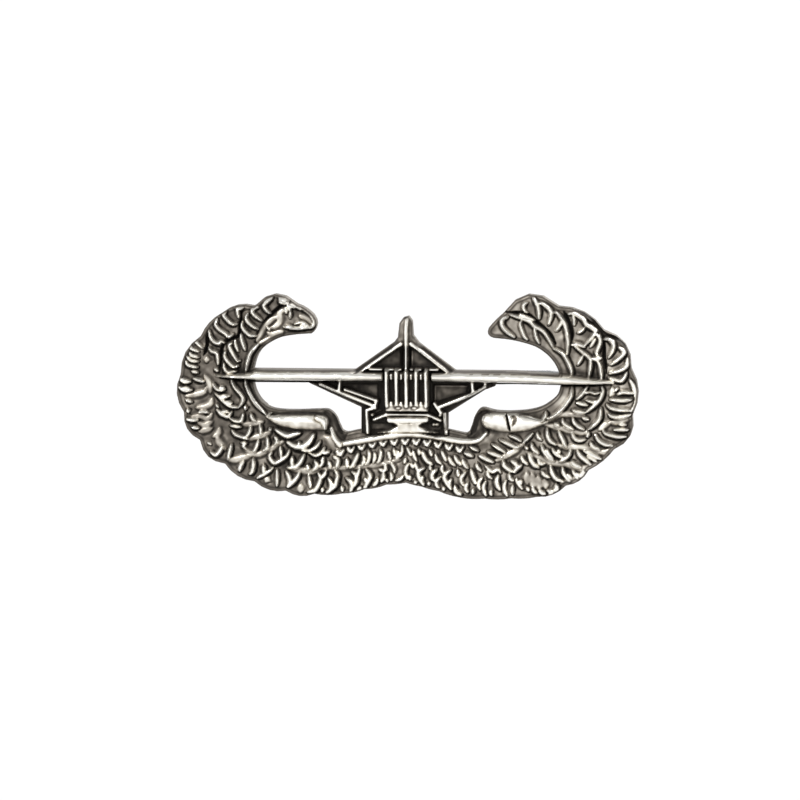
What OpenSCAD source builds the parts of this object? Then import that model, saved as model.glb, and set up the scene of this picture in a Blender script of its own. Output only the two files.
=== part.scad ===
// Small antique-silver glider wings badge with a brooch pin on its back.
//
// Frame: the badge stands upright as it is worn. +X runs along the wings to the
// wearer's left, +Z is up, and the relief faces -Y. The origin is at the centre
// of the badge, level with the glider's wing bar, on the wreath's back plane.

/* [Wreath] */
// Thickness of the wreath at its edge
plate_t = 0.9; // [0.7:0.05:1.1]
// Height that each row of feathers adds towards the spine
row_step = 0.1; // [0.05:0.01:0.15]
// Radius of the smooth rounded arms above the lower feathers
arm_r = 0.45; // [0.35:0.05:0.5]

/* [Glider] */
// Height of the wing bar's crest above the back plane
crest_t = 1.7; // [1.5:0.05:1.9]
// Height of the fuselage block above the back plane
fuselage_t = 1.35; // [1.2:0.05:1.5]
// Height of the struts above the back plane
strut_t = 1.15; // [1:0.05:1.3]
// Height of the sunken panels above the back plane
panel_t = 0.8; // [0.6:0.05:0.9]
// How far the glider's back is sunk below the wreath's back plane
glider_recess = 0.25; // [0.1:0.05:0.35]
// Number of ribs on the fuselage
rib_count = 5; // [3:1:6]

/* [Pin fittings] */
// Height of the cast pads that the fittings are soldered to
pad_t = 0.25; // [0.15:0.05:0.3]
// Thickness of the solder under each fitting
solder_t = 0.05; // [0.03:0.01:0.06]
// Thickness of each fitting's base plate
base_t = 0.25; // [0.2:0.05:0.25]
// Distance of the pin stem's axis from the back plane
axis_y = 1.5; // [1.5:0.05:1.7]
// Place of the hinge along the badge
hinge_x = -8.4; // [-8.5:0.05:-8.3]
// Place of the catch along the badge
catch_x = 8.25; // [8.2:0.05:8.3]

/* [Pin stem] */
// Radius of the pin stem's wire
stem_r = 0.3; // [0.25:0.01:0.3]
// Radius of the stem where it lies in the catch
tip_r = 0.24; // [0.2:0.01:0.25]
// Radius of the hinge rivet's shank
rivet_r = 0.22; // [0.18:0.01:0.24]
// Radial clearance between the rivet and the stem's eye
rivet_gap = 0.03; // [0.02:0.01:0.05]

/* [Hidden] */
$fn = 48;

silver = [0.62, 0.60, 0.55];
nickel = [0.78, 0.78, 0.76];
steel = [0.70, 0.71, 0.73];
solder_grey = [0.55, 0.56, 0.58];

// Feather tips of each wing from the upper end of the wing down to the bottom
// centre: [distance from the centre line, height, bulge]. The edge from one tip
// to the next is a curve that stands out by bulge times its own length.
tips_left = [
    [4.30, 2.10, 0.22], [4.25, 2.95, 0.06], [5.00, 3.42, 0.26], [6.95, 3.32, 0.13],
    [8.45, 3.00, 0.09], [9.40, 1.95, 0.14], [10.33, 0.20, 0.15], [10.18, -1.55, 0.18],
    [9.45, -2.82, 0.19], [8.30, -3.90, 0.12], [6.95, -4.70, 0.12], [5.50, -5.12, 0.13],
    [4.20, -5.25, 0.05], [2.90, -5.22, 0.05], [1.90, -5.02, 0.05], [0.90, -4.80, 0.03],
    [0, -4.70, 0]
];
tips_right = [
    [4.00, 1.95, 0.30], [3.78, 2.42, 0.03], [4.40, 3.05, 0.28], [6.95, 3.40, 0.13],
    [9.00, 2.32, 0.20], [10.25, 0.58, 0.14], [10.32, -1.55, 0.20], [9.50, -3.10, 0.06],
    [8.35, -4.05, 0.13], [7.30, -4.78, 0.12], [6.00, -5.30, 0.04], [4.80, -5.38, 0.04],
    [3.60, -5.40, 0.04], [2.40, -5.35, 0.03], [1.50, -5.08, 0.03], [0.70, -4.87, 0.03],
    [0, -4.70, 0]
];

// Inner edge of each wing from the upper end down to the glider's landing gear
inner_left = [
    [4.30, 2.10], [5.00, 2.05], [5.70, 1.92], [6.30, 1.62], [6.75, 1.20], [6.97, 0.65],
    [7.03, 0.00], [6.90, -0.60], [6.55, -1.10], [6.00, -1.37], [5.00, -1.42], [4.00, -1.38],
    [3.55, -1.40], [3.22, -1.70], [3.05, -2.10], [2.80, -2.40], [1.95, -2.45]
];
inner_right = [
    [4.00, 1.95], [4.70, 1.88], [5.40, 1.73], [6.00, 1.52], [6.50, 1.15], [6.85, 0.70],
    [7.02, 0.20], [7.02, -0.35], [6.80, -0.75], [6.30, -1.12], [5.70, -1.32], [4.90, -1.40],
    [4.10, -1.38], [3.45, -1.25], [3.15, -1.60], [2.98, -2.10], [2.75, -2.42], [1.90, -2.45]
];

// Line on which the feathers of both wings grow, from the upper end down
spine = [
    [4.60, 2.30], [5.40, 2.22], [6.30, 1.95], [6.95, 1.45], [7.25, 0.85], [7.38, 0.05],
    [7.20, -0.70], [6.80, -1.35], [6.25, -2.10], [5.40, -2.50], [4.30, -2.60], [3.30, -2.90],
    [2.20, -2.85], [1.10, -2.70], [0, -2.65]
];
// Line through the feather tips of both wings, matched to the spine's points
fringe = [
    [4.40, 2.80], [5.50, 3.60], [6.90, 3.40], [8.50, 2.85], [9.60, 1.60], [10.20, 0.10],
    [10.10, -1.60], [9.30, -2.95], [8.20, -4.00], [6.60, -4.80], [5.20, -5.10], [3.90, -5.20],
    [2.60, -5.15], [1.30, -4.90], [0, -4.65]
];
row_shares = [0.68, 0.38];  // outer edge of the middle and the inner row
row_bulge = 0.16;           // how far each feather of a row stands out
inner_inset = 0.08;         // gap between a raised row and the wreath's edge

curve_steps = 4;
wall_overlap = 0.3;         // how deep raised parts reach into what carries them
cut_margin = 1;             // how far a cutting shape runs past what it cuts

// The wing bar seen from the front, and its ridged section
bar_outline = [
    [-8.70, 0.10], [-7.00, 0.48], [5.00, 0.45], [7.00, 0.32],
    [9.50, -0.08], [7.00, -0.20], [5.00, -0.17], [-7.00, -0.15]
];
bar_len = 18.2;
bar_shoulder = 0.85;
bar_low = -0.25;
bar_high = 0.55;
crest_low = 0.08;
crest_high = 0.26;

lower_panel = [
    [-4.70, -0.05], [-2.05, -1.25], [-2.05, -2.65], [1.92, -2.65], [1.92, -1.50], [4.20, -0.05]
];
roof_panel = [[-2.50, 0.35], [-0.48, 1.78], [0.48, 1.78], [2.40, 0.35]];
fin_outline = [
    [-0.70, 1.55], [-0.38, 1.95], [-0.30, 2.60], [-0.12, 2.86],
    [0.12, 2.92], [0.28, 2.70], [0.32, 2.05], [0.70, 1.55]
];
nose_outline = [
    [-0.95, -1.72], [0.95, -1.72], [0.50, -2.10], [0.85, -2.60], [-0.85, -2.60], [-0.50, -2.10]
];
// Struts of one side, each from its outer end to its inner end
roof_strut = [[2.15, 0.40], [0.25, 1.62]];
gear_struts = [
    [[4.00, -0.20], [1.55, -1.15]], [[3.05, -0.20], [3.05, -0.60]],
    [[1.78, -1.45], [1.78, -2.50]], [[1.78, -1.45], [1.45, -1.20]],
    [[1.50, -1.85], [0.90, -1.60]]
];
strut_w = 0.14;
fin_ridge = [[0, 0.20], [0, 2.75]];
fin_ridge_t = strut_t + 0.15;
skid_half = 0.9;
skid_z = -1.6;
rib_w = 0.18;
fuselage_half = 1.05;
fuselage_low = -1.45;
fuselage_top = 0.38;
sill_top = -1.05;
sill_t = crest_t - 0.1;
arch_half = 3.1;            // half the span of the arch under the glider
arch_rise = 0.45;
arch_w = 0.36;
arch_base = -2.88;
arch_steps = 16;
arch_t = plate_t + 3 * row_step;
arm_inner = 3.75;
arm_outer = 6.05;
arm_z = -1.95;

base_low = pad_t + solder_t;
base_top = base_low + base_t;
pad_half = 1.25;
hinge_pad_outer = -9.75;
catch_pad_outer = 9.7;
pad_inner = 6.4;
solder_rim = 0.12;

// Hinge, measured from its rivet
bracket_back = -1.1;
bracket_front = 1.05;
fitting_half = 1.0;
ear_r = 0.62;
ear_t = 0.25;
eye_r = 0.55;
eye_t = 0.44;
ear_gap = 0.05;
ear_inner = eye_t / 2 + ear_gap;
ear_outer = ear_inner + ear_t;
head_r = 0.4;
head_t = 0.12;
neck_start = 0.3;
wire_start = 0.74;
heel_turn = 147;            // where the heel that limits the opening points
heel_reach = 0.86;
heel_r = 0.14;
heel_root = 0.5;

// Stem, along X
taper_start = 6.4;
tip_start = 7.0;
point_start = 8.2;
stem_end = 9.45;
point_r = 0.05;

// Catch: a slotted barrel round a slotted roller, both on the stem's axis
barrel_len = 1.3;
barrel_r = 0.92;
running_gap = 0.05;
roller_r = 0.62;
roller_bore = 0.36;
barrel_bore = roller_r + running_gap;
roller_slot = 0.62;
barrel_slot = 0.74;
flange_r = 0.82;
lip_t = 0.18;
flange_t = 0.26;
tab_turn = 50;              // where the thumb tab points while the mouth is open
tab_reach = 1.5;
tab_w = 0.6;
foot_half = 0.6;
catch_base_lip = 0.3;       // how far the base plate runs past the barrel

function mirrored(points) = [for (p = points) [-p[0], p[1]]];
function reversed(points) = [for (i = [len(points) - 1 : -1 : 0]) points[i]];
function flat(p) = [p[0], p[1]];

// Point a share t of the way from b to c on a smooth curve through a, b, c and d
function curve_point(a, b, c, d, t) =
    0.5 * (2 * b + (c - a) * t + (2 * a - 5 * b + 4 * c - d) * t * t
        + (3 * b - a - 3 * c + d) * t * t * t);

// Smooth curve through the given points
function smooth(points) = [
    for (i = [0 : len(points) - 2], s = [0 : curve_steps - 1])
        curve_point(
            points[max(i - 1, 0)], points[i], points[i + 1],
            points[min(i + 2, len(points) - 1)], s / curve_steps
        ),
    points[len(points) - 1]
];

// Curve from a towards b that stands bulge times its length out to the left
function bulged(a, b, bulge) = [
    for (s = [0 : curve_steps - 1])
        let (t = s / curve_steps, d = b - a)
            a + d * t + [-d[1], d[0]] * 4 * bulge * t * (1 - t)
];

// Scalloped edge through points that hold their own bulge
function scalloped(tips) = [
    for (i = [0 : len(tips) - 2]) each bulged(flat(tips[i]), flat(tips[i + 1]), tips[i][2])
];

wreath_outline = concat(
    mirrored(scalloped(tips_left)),
    [[0, tips_left[len(tips_left) - 1][1]]],
    reversed(scalloped(tips_right)),
    smooth(inner_right),
    reversed(mirrored(smooth(inner_left)))
);

// Outer edge of one row of feathers, each feather between two of its neighbours
function row_points(share) = [
    for (i = [0 : len(spine) - 2]) (spine[i] + spine[i + 1]) / 2 * (1 - share)
        + (fringe[i] + fringe[i + 1]) / 2 * share
];
function row_edge(share) = let (points = row_points(share)) [
    for (i = [0 : len(points) - 2]) each bulged(points[i], points[i + 1], row_bulge),
    points[len(points) - 1]
];
function row_outline(share) = concat(
    mirrored(row_edge(share)), reversed(row_edge(share)), spine, reversed(mirrored(spine))
);

// Raises a front-view outline from one height above the back plane to another
module raised(low, high) {
    rotate([90, 0, 0]) translate([0, 0, low]) linear_extrude(high - low) children();
}

// A straight bar of the front view along a line of two points
module strut(line, width, high) {
    d = line[1] - line[0];
    raised(panel_t - wall_overlap, high)
        translate(line[0]) rotate(atan2(d[1], d[0])) translate([-width / 2, -width / 2])
            square([norm(d) + width, width]);
}

module both_sides() {
    children();
    mirror([1, 0, 0]) children();
}

module wreath() {
    raised(0, plate_t) polygon(wreath_outline);
    for (i = [0 : len(row_shares) - 1])
        raised(plate_t - wall_overlap, plate_t + (i + 1) * row_step)
            polygon(row_outline(row_shares[i]));
    both_sides() translate([arm_inner, -plate_t, arm_z]) {
        rotate([0, 90, 0]) cylinder(r = arm_r, h = arm_outer - arm_inner);
        sphere(r = arm_r);
        translate([arm_outer - arm_inner, 0, 0]) sphere(r = arm_r);
    }
    raised(plate_t - wall_overlap, arch_t) polygon(arch_outline());
}

// The smooth arch that the glider stands on
function arch_line(offset) = [
    for (x = [-arch_half : 2 * arch_half / arch_steps : arch_half])
        [x, arch_base + arch_rise * (1 - pow(x / arch_half, 2)) + offset]
];
function arch_outline() = concat(arch_line(0), reversed(arch_line(arch_w)));

module wing_bar() {
    section = [
        [bar_low, glider_recess], [bar_high, glider_recess], [bar_high, bar_shoulder],
        [crest_high, crest_t], [crest_low, crest_t], [bar_low, bar_shoulder]
    ];
    intersection() {
        raised(glider_recess, crest_t) polygon(bar_outline);
        translate([bar_outline[0][0] - cut_margin, 0, 0]) rotate([180, -90, 0])
            linear_extrude(bar_len + 2 * cut_margin) polygon(section);
    }
}

module fuselage() {
    raised(glider_recess, fuselage_t)
        translate([-fuselage_half, fuselage_low])
            square([2 * fuselage_half, fuselage_top - fuselage_low]);
    pitch = 2 * (fuselage_half - rib_w / 2) / (rib_count - 1);
    for (i = [0 : rib_count - 1])
        raised(fuselage_t - wall_overlap, crest_t)
            translate([-fuselage_half + i * pitch, sill_top])
                square([rib_w, fuselage_top - sill_top]);
    raised(fuselage_t - wall_overlap, sill_t)
        translate([-fuselage_half, fuselage_low])
            square([2 * fuselage_half, sill_top - fuselage_low]);
}

module tail() {
    raised(glider_recess, panel_t) polygon(roof_panel);
    raised(glider_recess, strut_t) polygon(fin_outline);
    strut(fin_ridge, rib_w, fin_ridge_t);
    both_sides() strut(roof_strut, strut_w, strut_t);
}

module undercarriage() {
    raised(glider_recess, panel_t) polygon(lower_panel);
    both_sides() for (line = gear_struts) strut(line, strut_w, strut_t);
    strut([[-skid_half, skid_z], [skid_half, skid_z]], strut_w, strut_t);
    raised(panel_t - wall_overlap, strut_t) polygon(nose_outline);
}

// Cast pads behind the two ends of the wing bar
module pads() {
    rotate([90, 0, 0]) translate([0, 0, -pad_t]) linear_extrude(pad_t + wall_overlap)
        intersection() {
            polygon(wreath_outline);
            union() {
                translate([hinge_pad_outer, -pad_half])
                    square([-pad_inner - hinge_pad_outer, 2 * pad_half]);
                translate([pad_inner, -pad_half])
                    square([catch_pad_outer - pad_inner, 2 * pad_half]);
            }
        }
}

module badge_casting() {
    color(silver) union() {
        wreath();
        wing_bar();
        fuselage();
        tail();
        undercarriage();
        pads();
    }
}

// A flat plate behind the badge, between two places along it and two heights
module plate_between(left, right, half, low, high) {
    translate([left, low, -half]) cube([right - left, high - low, 2 * half]);
}

module solder_pool(left, right) {
    color(solder_grey)
        plate_between(left - solder_rim, right + solder_rim, fitting_half + solder_rim,
            pad_t, base_low);
}

module hinge_solder() {
    solder_pool(hinge_x + bracket_back, hinge_x + bracket_front);
}

module hinge_bracket() {
    color(nickel) difference() {
        union() {
            plate_between(hinge_x + bracket_back, hinge_x + bracket_front, fitting_half,
                base_low, base_top);
            both_ears() {
                cylinder(r = ear_r, h = ear_t);
                translate([-ear_r, base_low - axis_y, 0])
                    cube([2 * ear_r, axis_y - base_low, ear_t]);
            }
        }
        translate([hinge_x, axis_y, -ear_outer - cut_margin])
            cylinder(r = rivet_r, h = 2 * (ear_outer + cut_margin));
    }
}

// Places a pair of ears on the hinge's axis
module both_ears() {
    for (z = [ear_inner, -ear_outer]) translate([hinge_x, axis_y, z]) children();
}

module hinge_rivet() {
    color(steel) translate([hinge_x, axis_y, 0]) {
        translate([0, 0, -ear_outer]) cylinder(r = rivet_r, h = 2 * ear_outer);
        for (z = [ear_outer, -ear_outer - head_t])
            translate([0, 0, z]) cylinder(r = head_r, h = head_t);
    }
}

// Eye of the stem in the plane it swings in, with the heel that limits its opening
module eye_outline() {
    circle(r = eye_r);
    translate([neck_start, -stem_r]) square([wire_start - neck_start, 2 * stem_r]);
    rotate(heel_turn) {
        translate([heel_reach, 0]) circle(r = heel_r);
        polygon([
            [0, heel_root], [heel_reach, heel_r], [heel_reach, -heel_r], [0, -heel_root]
        ]);
    }
}

module pin_stem() {
    color(steel) {
        difference() {
            translate([hinge_x, axis_y, -eye_t / 2]) linear_extrude(eye_t) eye_outline();
            translate([hinge_x, axis_y, -eye_t / 2 - cut_margin])
                cylinder(r = rivet_r + rivet_gap, h = eye_t + 2 * cut_margin);
        }
        translate([0, axis_y, 0]) rotate([0, 90, 0]) {
            translate([0, 0, hinge_x + wire_start])
                cylinder(r = stem_r, h = taper_start - hinge_x - wire_start);
            translate([0, 0, taper_start])
                cylinder(r1 = stem_r, r2 = tip_r, h = tip_start - taper_start);
            translate([0, 0, tip_start]) cylinder(r = tip_r, h = point_start - tip_start);
            translate([0, 0, point_start])
                cylinder(r1 = tip_r, r2 = point_r, h = stem_end - point_start);
        }
    }
}

catch_left = catch_x - barrel_len / 2;
catch_right = catch_x + barrel_len / 2;
catch_base_left = catch_left - catch_base_lip;
catch_base_right = catch_right + catch_base_lip;

module catch_solder() {
    solder_pool(catch_base_left, catch_base_right);
}

// Turns a shape drawn along +Z so that it runs along +X on the stem's axis
module on_axis(start) {
    translate([start, axis_y, 0]) rotate([0, 90, 0]) children();
}

// Slot that opens away from the badge, for the stem to swing through
module mouth(start, length, width) {
    translate([start, axis_y, -width / 2]) cube([length, 2 * barrel_r, width]);
}

module catch_body() {
    color(nickel) difference() {
        union() {
            plate_between(catch_base_left, catch_base_right, fitting_half, base_low, base_top);
            plate_between(catch_left, catch_right, foot_half, base_low, axis_y);
            on_axis(catch_left) cylinder(r = barrel_r, h = barrel_len);
        }
        on_axis(catch_left - cut_margin)
            cylinder(r = barrel_bore, h = barrel_len + 2 * cut_margin);
        mouth(catch_left - cut_margin, barrel_len + 2 * cut_margin, barrel_slot);
    }
}

module catch_roller() {
    lip_x = catch_left - running_gap - lip_t;
    flange_x = catch_right + running_gap;
    full_len = flange_x + flange_t - lip_x;
    color(steel) difference() {
        union() {
            on_axis(lip_x) cylinder(r = roller_r, h = full_len);
            on_axis(lip_x) cylinder(r = flange_r, h = lip_t);
            on_axis(flange_x) cylinder(r = flange_r, h = flange_t);
            translate([flange_x, axis_y, 0]) rotate([tab_turn, 0, 0])
                translate([0, roller_r, -tab_w / 2])
                    cube([flange_t, tab_reach - roller_r, tab_w]);
        }
        on_axis(lip_x - cut_margin)
            cylinder(r = roller_bore, h = full_len + 2 * cut_margin);
        mouth(lip_x - cut_margin, full_len + 2 * cut_margin, roller_slot);
    }
}

badge_casting();
hinge_solder();
hinge_bracket();
hinge_rivet();
pin_stem();
catch_solder();
catch_body();
catch_roller();
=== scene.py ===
import math

import bmesh
import bpy
import numpy as np
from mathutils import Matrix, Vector, geometry


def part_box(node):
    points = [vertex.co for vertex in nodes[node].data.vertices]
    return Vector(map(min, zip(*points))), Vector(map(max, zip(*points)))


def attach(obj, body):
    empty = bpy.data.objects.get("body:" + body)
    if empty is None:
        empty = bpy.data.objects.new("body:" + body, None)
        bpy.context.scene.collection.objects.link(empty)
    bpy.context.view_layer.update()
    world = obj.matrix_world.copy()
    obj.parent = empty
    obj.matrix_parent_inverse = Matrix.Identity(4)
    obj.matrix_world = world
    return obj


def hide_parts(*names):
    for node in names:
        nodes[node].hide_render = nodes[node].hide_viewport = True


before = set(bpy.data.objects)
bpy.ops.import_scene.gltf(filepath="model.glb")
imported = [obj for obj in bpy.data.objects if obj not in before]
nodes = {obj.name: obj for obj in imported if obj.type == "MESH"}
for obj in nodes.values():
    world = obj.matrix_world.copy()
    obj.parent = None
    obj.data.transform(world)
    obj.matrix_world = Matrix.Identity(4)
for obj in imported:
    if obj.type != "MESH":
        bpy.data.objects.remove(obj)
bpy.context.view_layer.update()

# The relief is drawn in millimetres on the front view: x along the wings, z up, and a height in
# front of the wreath's back plane. Blender itself is in metres.
MM = 0.001
STEP = 0.039            # spacing of the relief's grid
FAR = 9.0               # further than any distance that is asked for


# ---------------------------------------------------------------- drawing helpers

def curve(points, steps=6):
    """Smooth line through the given points."""
    p = np.array(points, float)
    if len(p) < 3:
        return p
    ends = np.vstack([2 * p[0] - p[1], p, 2 * p[-1] - p[-2]])
    line = []
    for a, b, c, d in zip(ends, ends[1:], ends[2:], ends[3:]):
        for t in np.arange(steps) / steps:
            line.append(0.5 * (2 * b + (c - a) * t + (2 * a - 5 * b + 4 * c - d) * t ** 2
                               + (3 * b - a - 3 * c + d) * t ** 3))
    line.append(p[-1])
    return np.array(line)


def smoothstep(t):
    """Smooth rise from 0 to 1 as t goes from 0 to 1."""
    t = np.clip(t, 0, 1)
    return t * t * (3 - 2 * t)


def run(line):
    """Length of a line up to each of its points."""
    return np.r_[0, np.cumsum(np.linalg.norm(np.diff(line, axis=0), axis=1))]


def segment_distance(px, pz, a, b):
    """Distance of points from the segment a to b, and where along it the nearest place is."""
    d = b - a
    t = np.clip(((px - a[0]) * d[0] + (pz - a[1]) * d[1]) / max(d @ d, 1e-12), 0, 1)
    return np.hypot(px - a[0] - t * d[0], pz - a[1] - t * d[1]), t


def in_triangles(px, pz, triangles):
    """Which of the points lie in any of the triangles."""
    inside = np.zeros(px.shape, bool)
    for corners in triangles:
        low, high = corners.min(0) - 1e-6, corners.max(0) + 1e-6
        near = (px >= low[0]) & (px <= high[0]) & (pz >= low[1]) & (pz <= high[1])
        if not near.any():
            continue
        x, z = px[near], pz[near]
        sides = np.array([(b[0] - a[0]) * (z - a[1]) - (b[1] - a[1]) * (x - a[0])
                          for a, b in zip(corners, np.roll(corners, -1, axis=0))])
        inside[near] |= (sides >= -1e-7).all(0) | (sides <= 1e-7).all(0)
    return inside


# ---------------------------------------------------------------- the casting's own outline

BORDER_PIECE = 0.15     # longest piece of the border
JUST_OUTSIDE = 0.004    # where a piece of border is asked what lies beyond it


def back_triangles(node):
    """Front-view triangles of a node's faces that look back, each with its depth y."""
    mesh = nodes[node].data
    mesh.calc_loop_triangles()
    corners = np.array([v.co for v in mesh.vertices]) / MM
    points = corners[np.array([t.vertices for t in mesh.loop_triangles])]
    normals = np.cross(points[:, 1] - points[:, 0], points[:, 2] - points[:, 0])
    looks_back = normals[:, 1] > 0.99 * np.linalg.norm(normals, axis=1) + 1e-6
    points = points[looks_back]
    return points[:, :, [0, 2]], points[:, 0, 1]


def border(triangles, meets):
    """Short pieces of the triangles' border, kept where meets(x, z) is true just outside it."""
    pieces = []
    for corners in triangles:
        for i in range(3):
            a, b, third = corners[i], corners[(i + 1) % 3], corners[(i + 2) % 3]
            count = max(1, math.ceil(np.linalg.norm(b - a) / BORDER_PIECE))
            out = np.array([b[1] - a[1], a[0] - b[0]])
            out = out / np.linalg.norm(out)
            if out @ (third - a) > 0:
                out = -out
            places = np.linspace(a, b, count + 1)
            pieces += [(s, e, (s + e) / 2 + JUST_OUTSIDE * out)
                       for s, e in zip(places, places[1:])]
    outside = np.array([p[2] for p in pieces])
    keep = ~in_triangles(outside[:, 0], outside[:, 1], triangles)
    keep &= meets(outside[:, 0], outside[:, 1])
    return [(s, e) for (s, e, _), kept in zip(pieces, keep) if kept]


TO_LIGHT = (-0.5, 0.87)  # towards the light on the front view: ridges are painted brighter on this side and darker on the other


class Grid:
    """The front view as a grid of points."""

    def __init__(self, low, high):
        self.x = np.arange(low[0], high[0], STEP)
        self.z = np.arange(low[1], high[1], STEP)
        self.X, self.Z = np.meshgrid(self.x, self.z)

    def window(self, points, margin):
        """The part of the grid within a margin of some points."""
        low, high = points.min(0) - margin, points.max(0) + margin
        i = np.searchsorted(self.x, [low[0], high[0]])
        j = np.searchsorted(self.z, [low[1], high[1]])
        return slice(j[0], j[1]), slice(i[0], i[1])

    def line_distance(self, line, margin):
        """What the grid sees of a line, on a window round it: the window, the distance from
        the line, the share of its length before the nearest place, the side (1 on its left, -1
        on its right) and how far the way out from the line points to the light, -1 to 1."""
        part = self.window(line, margin)
        px, pz = self.X[part], self.Z[part]
        lengths = run(line)
        best = np.full(px.shape, FAR)
        share, side, lit = (np.zeros(px.shape) for _ in range(3))
        for k, (a, b) in enumerate(zip(line, line[1:])):
            d, t = segment_distance(px, pz, a, b)
            along = (lengths[k] + t * (lengths[k + 1] - lengths[k])) / lengths[-1]
            left = (b[0] - a[0]) * (pz - a[1]) > (b[1] - a[1]) * (px - a[0])
            out = px - a[0] - t * (b[0] - a[0]), pz - a[1] - t * (b[1] - a[1])
            towards = (out[0] * TO_LIGHT[0] + out[1] * TO_LIGHT[1]) / np.maximum(d, 1e-6)
            nearer = d < best
            for kept, here in ((best, d), (share, along), (side, np.where(left, 1, -1)),
                               (lit, towards)):
                kept[nearer] = here[nearer]
        return part, best, share, side, lit

    def segments_distance(self, segments, reach):
        """Distance from the nearest of many segments, up to reach."""
        best = np.full(self.X.shape, reach)
        for a, b in segments:
            part = self.window(np.array([a, b]), reach)
            d, _ = segment_distance(self.X[part], self.Z[part], a, b)
            best[part] = np.minimum(best[part], d)
        return best


back, depth = back_triangles("badge_casting")
outline = border(back, lambda x, z: np.ones(len(x), bool))
grid = Grid(back.min((0, 1)) - 3 * STEP, back.max((0, 1)) + 4 * STEP)

# Distance from the outline, more than 0 inside it
EDGE_REACH = 0.6
inside = in_triangles(grid.X, grid.Z, back)
edge = grid.segments_distance(outline, EDGE_REACH) * np.where(inside, 1, -1)

# The levels of the back on either side of the wreath's: the sunk glider and the raised pads
LEVEL = 0.01            # faces nearer than this to the back plane are on it
glider, glider_back = back[depth < -LEVEL], np.median(depth[depth < -LEVEL])
pads, pad_back = back[depth > LEVEL], depth.max()
glider_border = border(glider, lambda x, z: in_triangles(x, z, back))
pad_border = border(pads, lambda x, z: in_triangles(x, z, back))
STEP_ROUND = 0.1        # width of the slope between two levels of the back


def back_level(px, pz):
    """Height y of the back, with its steps rounded."""
    level = np.zeros(len(px))
    for region, rim, height in ((glider, glider_border, glider_back),
                                (pads, pad_border, pad_back)):
        near = np.full(len(px), FAR)
        for a, b in rim:
            near = np.minimum(near, segment_distance(px, pz, a, b)[0])
        near *= np.where(in_triangles(px, pz, region), 1, -1)
        level += height * smoothstep(near / STEP_ROUND + 0.5)
    return level


# ---------------------------------------------------------------- carving the relief

RIM_LINE = 0.07         # reach of the black line inside a panel's edge
GROOVE_MIDDLE = 1.35    # a ridge's grooves lie this many half widths from its middle, end this many from it, and the strip beside it, rubbed and with a painted highlight on its lit side, ends this many from it
GROOVE_SPREAD = 2.0     # end this many from it,
SHOULDER_SPREAD = 3.5   # and the rubbed strip on its worn side ends this many from it
# how much that strip brightens the metal: rubbing, and a painted highlight on its lit side
SHOULDER_WEAR_AND_HIGHLIGHT = 0.25
DARKEST = 0.9           # share of the wear that a groove takes away


def deepen(layer, part, values):
    """Raises a layer over a window to the values where they are higher."""
    layer[part] = np.maximum(layer[part], values)


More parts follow.
